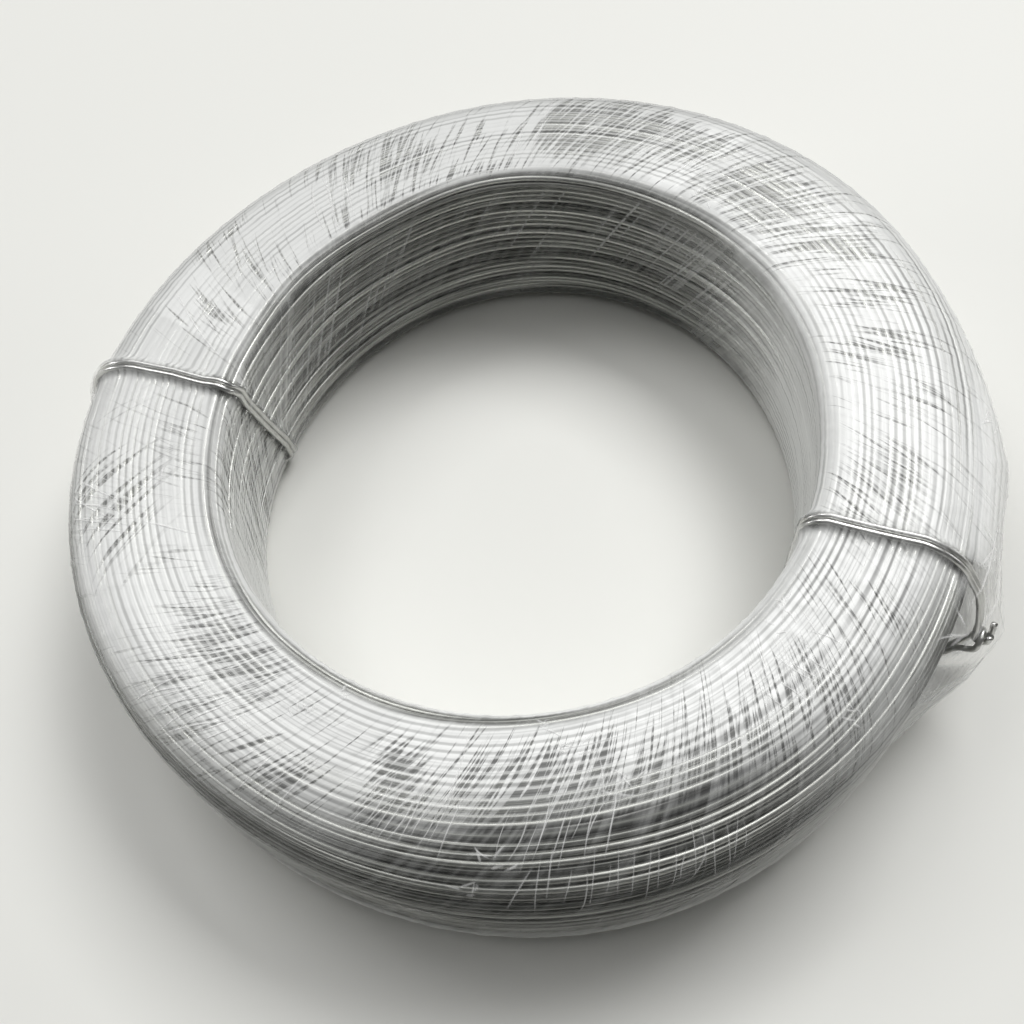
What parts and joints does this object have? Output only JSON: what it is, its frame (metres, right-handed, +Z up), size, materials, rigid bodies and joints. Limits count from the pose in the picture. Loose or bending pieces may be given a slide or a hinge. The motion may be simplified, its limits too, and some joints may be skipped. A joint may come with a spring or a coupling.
{
  "type": "coil of plastic-coated aluminium wire",
  "caption": "Flat ring-shaped coil of clear-coated aluminium wire wound turn beside turn, held by doubled wire ties hooked on its outer wall and wrapped in clear stretch film.",
  "frame": {"origin": "centre of the coil's base, on the axis of its eye", "axes": "+Z up along the axis of the eye; -Y towards the front; +X to the right, with one tie at the front right and the other at the back left"},
  "size_m": [0.304, 0.3014, 0.0702],
  "materials": {
    "coated_wire": "bright wire under a clear glossy plastic coat",
    "tie_wire": "bright, lightly scratched",
    "film": "clear stretch film, glossy and wrinkled"
  },
  "bodies": {
    "root": {"wire_winding": "coated_wire", "tie_wire_right": "tie_wire", "tie_wire_left": "tie_wire", "wrap_film": "film"}
  },
  "joints": []
}
